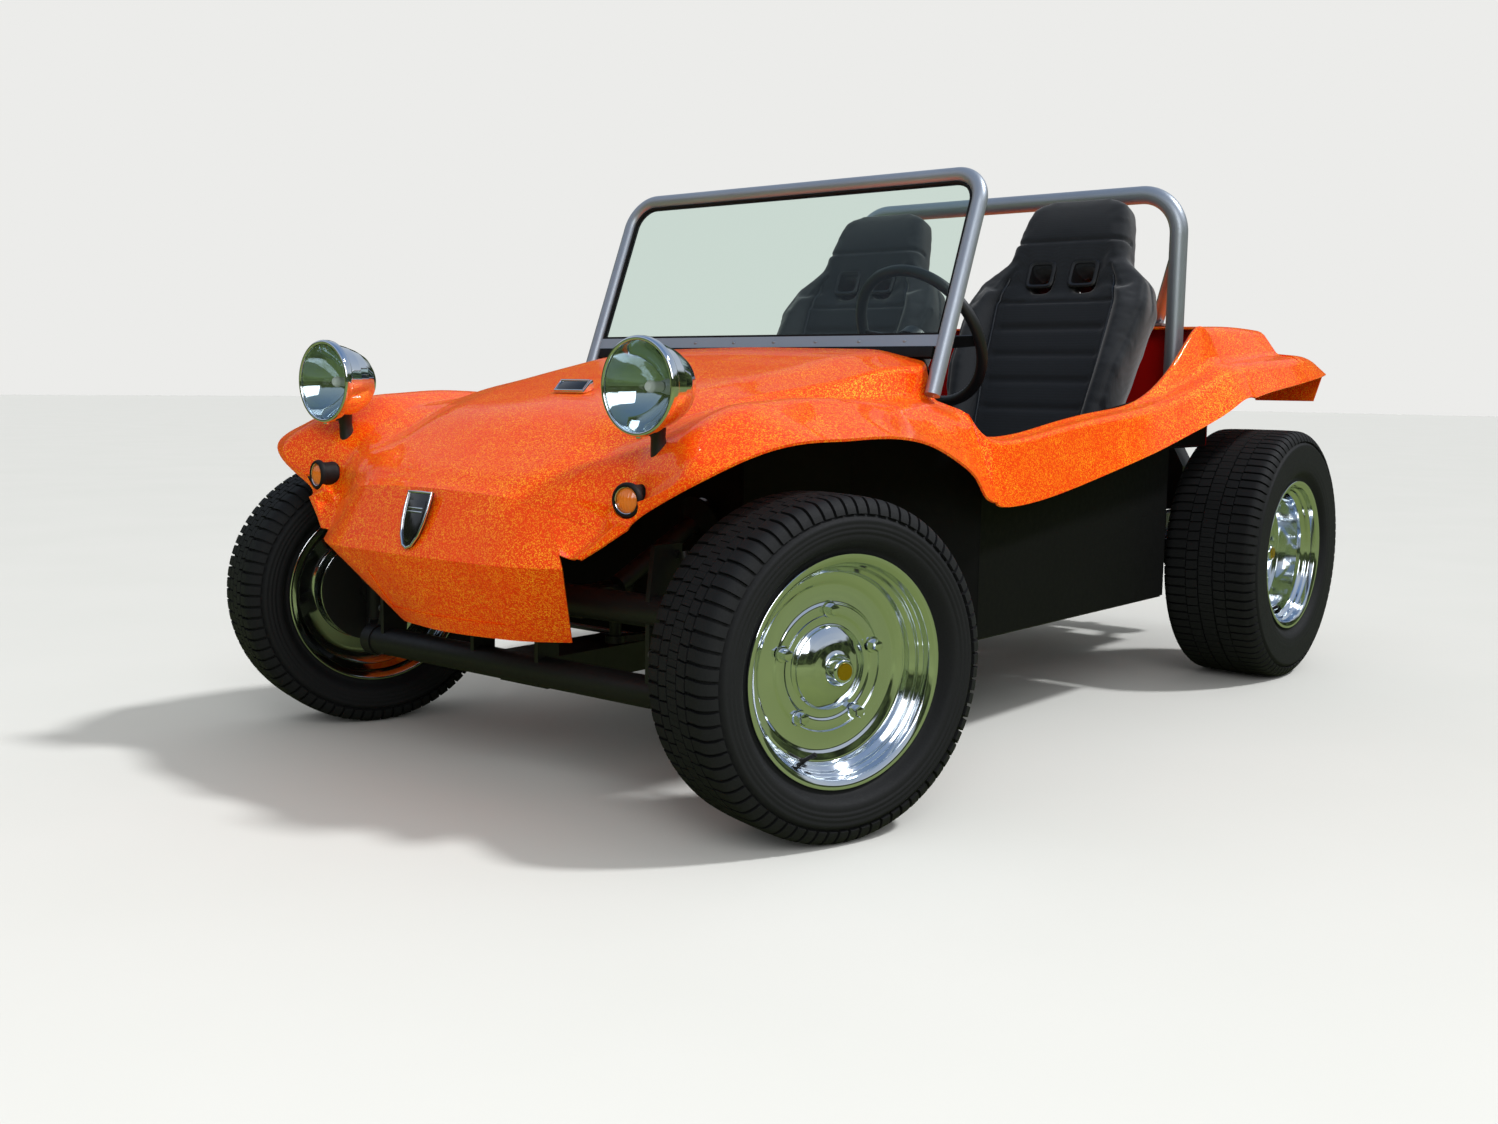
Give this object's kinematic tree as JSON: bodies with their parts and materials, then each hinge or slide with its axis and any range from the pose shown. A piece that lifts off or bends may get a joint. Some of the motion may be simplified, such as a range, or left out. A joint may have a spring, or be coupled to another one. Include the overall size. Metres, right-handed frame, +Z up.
{
  "type": "two-seat open dune buggy",
  "caption": "Open fibreglass-bodied dune buggy with a raked windshield frame, high bucket seats, a roll bar, wide rear tyres and an open rear engine.",
  "frame": {"origin": "centre of the car's footprint on the ground", "axes": "+X forward, +Y to the car's left, +Z up"},
  "size_m": [3.0356, 1.7012, 1.3409],
  "materials": {
    "orange": "orange metalflake gelcoat, glossy",
    "black_shell": "black gelcoat",
    "chassis_black": "black chassis paint",
    "red_lining": "red gelcoat inside",
    "dash_black": "matte black",
    "bare_tube": "satin silver tube",
    "clear_glass": "clear",
    "seat_cloth": "black seat cover with vinyl bolsters",
    "lamp_chrome": "polished chrome",
    "lamp_glass": "clear lens",
    "black_rubber": "black rubber",
    "amber": "amber lens",
    "badge_black": "black and silver blank badge",
    "cast_case": "raw cast case",
    "exhaust_steel": "exhaust steel",
    "red_lens": "red lens",
    "steel_rod": "plain steel",
    "wheel_black": "black wrapped rim",
    "rim_chrome": "polished chrome",
    "tyre_black": "black tyre rubber"
  },
  "bodies": {
    "chassis": {"hood": "orange", "body_front": "orange", "nose": "orange", "body_side_left": "orange", "body_side_right": "orange", "body_rear": "orange", "body_tails": "orange", "tub": "black_shell", "floor_pan": "chassis_black", "interior_panels": "red_lining", "dash": "dash_black", "windshield_frame": "bare_tube", "windshield_glass": "clear_glass", "roll_bar": "bare_tube", "seat_left": "seat_cloth", "seat_right": "seat_cloth", "headlamps": "lamp_chrome", "headlamp_lenses": "lamp_glass", "turn_signals": "black_rubber", "turn_signal_lenses": "amber", "nose_badge": "badge_black", "hood_emblem": "lamp_chrome", "front_beam": "chassis_black", "front_arms": "chassis_black", "steering_column": "chassis_black", "transaxle": "cast_case", "rear_axles": "chassis_black", "engine": "cast_case", "fan_housing": "dash_black", "exhaust": "exhaust_steel", "tail_plates": "orange", "tail_lamps": "red_lens", "floor_controls": "dash_black"},
    "knuckle_left": {"knuckle_left": "chassis_black"},
    "knuckle_right": {"knuckle_right": "chassis_black"},
    "tie_rod_left": {"tie_rod_left": "steel_rod"},
    "tie_rod_right": {"tie_rod_right": "steel_rod"},
    "pitman_arm": {"pitman_arm": "chassis_black"},
    "steering_wheel": {"steering_wheel": "wheel_black"},
    "wheel_front_left": {"rim_front_left": "rim_chrome", "tyre_front_left": "tyre_black"},
    "wheel_front_right": {"rim_front_right": "rim_chrome", "tyre_front_right": "tyre_black"},
    "wheel_rear_left": {"rim_rear_left": "rim_chrome", "tyre_rear_left": "tyre_black"},
    "wheel_rear_right": {"rim_rear_right": "rim_chrome", "tyre_rear_right": "tyre_black"}
  },
  "joints": [
    {"name": "steer_left", "type": "hinge", "parent": "chassis", "child": "knuckle_left", "pos_m": [1.131, 0.6185, 0.303], "axis": [0, 0, 1], "range_deg": [-13.4, 46.6]},
    {"name": "steer_right", "type": "hinge", "parent": "chassis", "child": "knuckle_right", "pos_m": [1.131, -0.6185, 0.303], "axis": [0, 0, 1], "range_deg": [-13.5, 46.7]},
    {"name": "pitman_turn", "type": "hinge", "parent": "chassis", "child": "pitman_arm", "pos_m": [1.131, 0.16, 0.285], "axis": [0, 0, 1], "range_deg": [-13.5, 46.7]},
    {"name": "tie_rod_left_pin", "type": "hinge", "parent": "knuckle_left", "child": "tie_rod_left", "pos_m": [1.016, 0.65278, 0.2993], "axis": [0, 0, 1], "range_deg": [-46.7, 13.5]},
    {"name": "tie_rod_right_pin", "type": "hinge", "parent": "knuckle_right", "child": "tie_rod_right", "pos_m": [1.016, -0.58422, 0.2707], "axis": [0, 0, 1], "range_deg": [-46.7, 13.5]},
    {"name": "steering_wheel_turn", "type": "hinge", "parent": "chassis", "child": "steering_wheel", "pos_m": [0.266, 0.297, 0.905], "axis": [-0.8642, 0.1039, 0.4923], "range_deg": [-189.6, 654.4]},
    {"name": "spin_front_left", "type": "hinge", "parent": "knuckle_left", "child": "wheel_front_left", "pos_m": [1.131, 0.6185, 0.303], "axis": [0.2857, 0.9583, 0], "continuous": true},
    {"name": "spin_front_right", "type": "hinge", "parent": "knuckle_right", "child": "wheel_front_right", "pos_m": [1.131, -0.6185, 0.303], "axis": [0.2857, 0.9583, 0], "continuous": true},
    {"name": "spin_rear_left", "type": "hinge", "parent": "chassis", "child": "wheel_rear_left", "pos_m": [-0.901, 0.672, 0.343], "axis": [0, 1, 0], "continuous": true},
    {"name": "spin_rear_right", "type": "hinge", "parent": "chassis", "child": "wheel_rear_right", "pos_m": [-0.901, -0.672, 0.343], "axis": [0, 1, 0], "continuous": true}
  ],
  "couplings": [
    {"joint": "steer_right", "follows": "steer_left", "ratio": 1},
    {"joint": "pitman_turn", "follows": "steer_left", "ratio": 1},
    {"joint": "tie_rod_left_pin", "follows": "steer_left", "ratio": -1},
    {"joint": "tie_rod_right_pin", "follows": "steer_left", "ratio": -1},
    {"joint": "steering_wheel_turn", "follows": "steer_left", "ratio": 14}
  ]
}
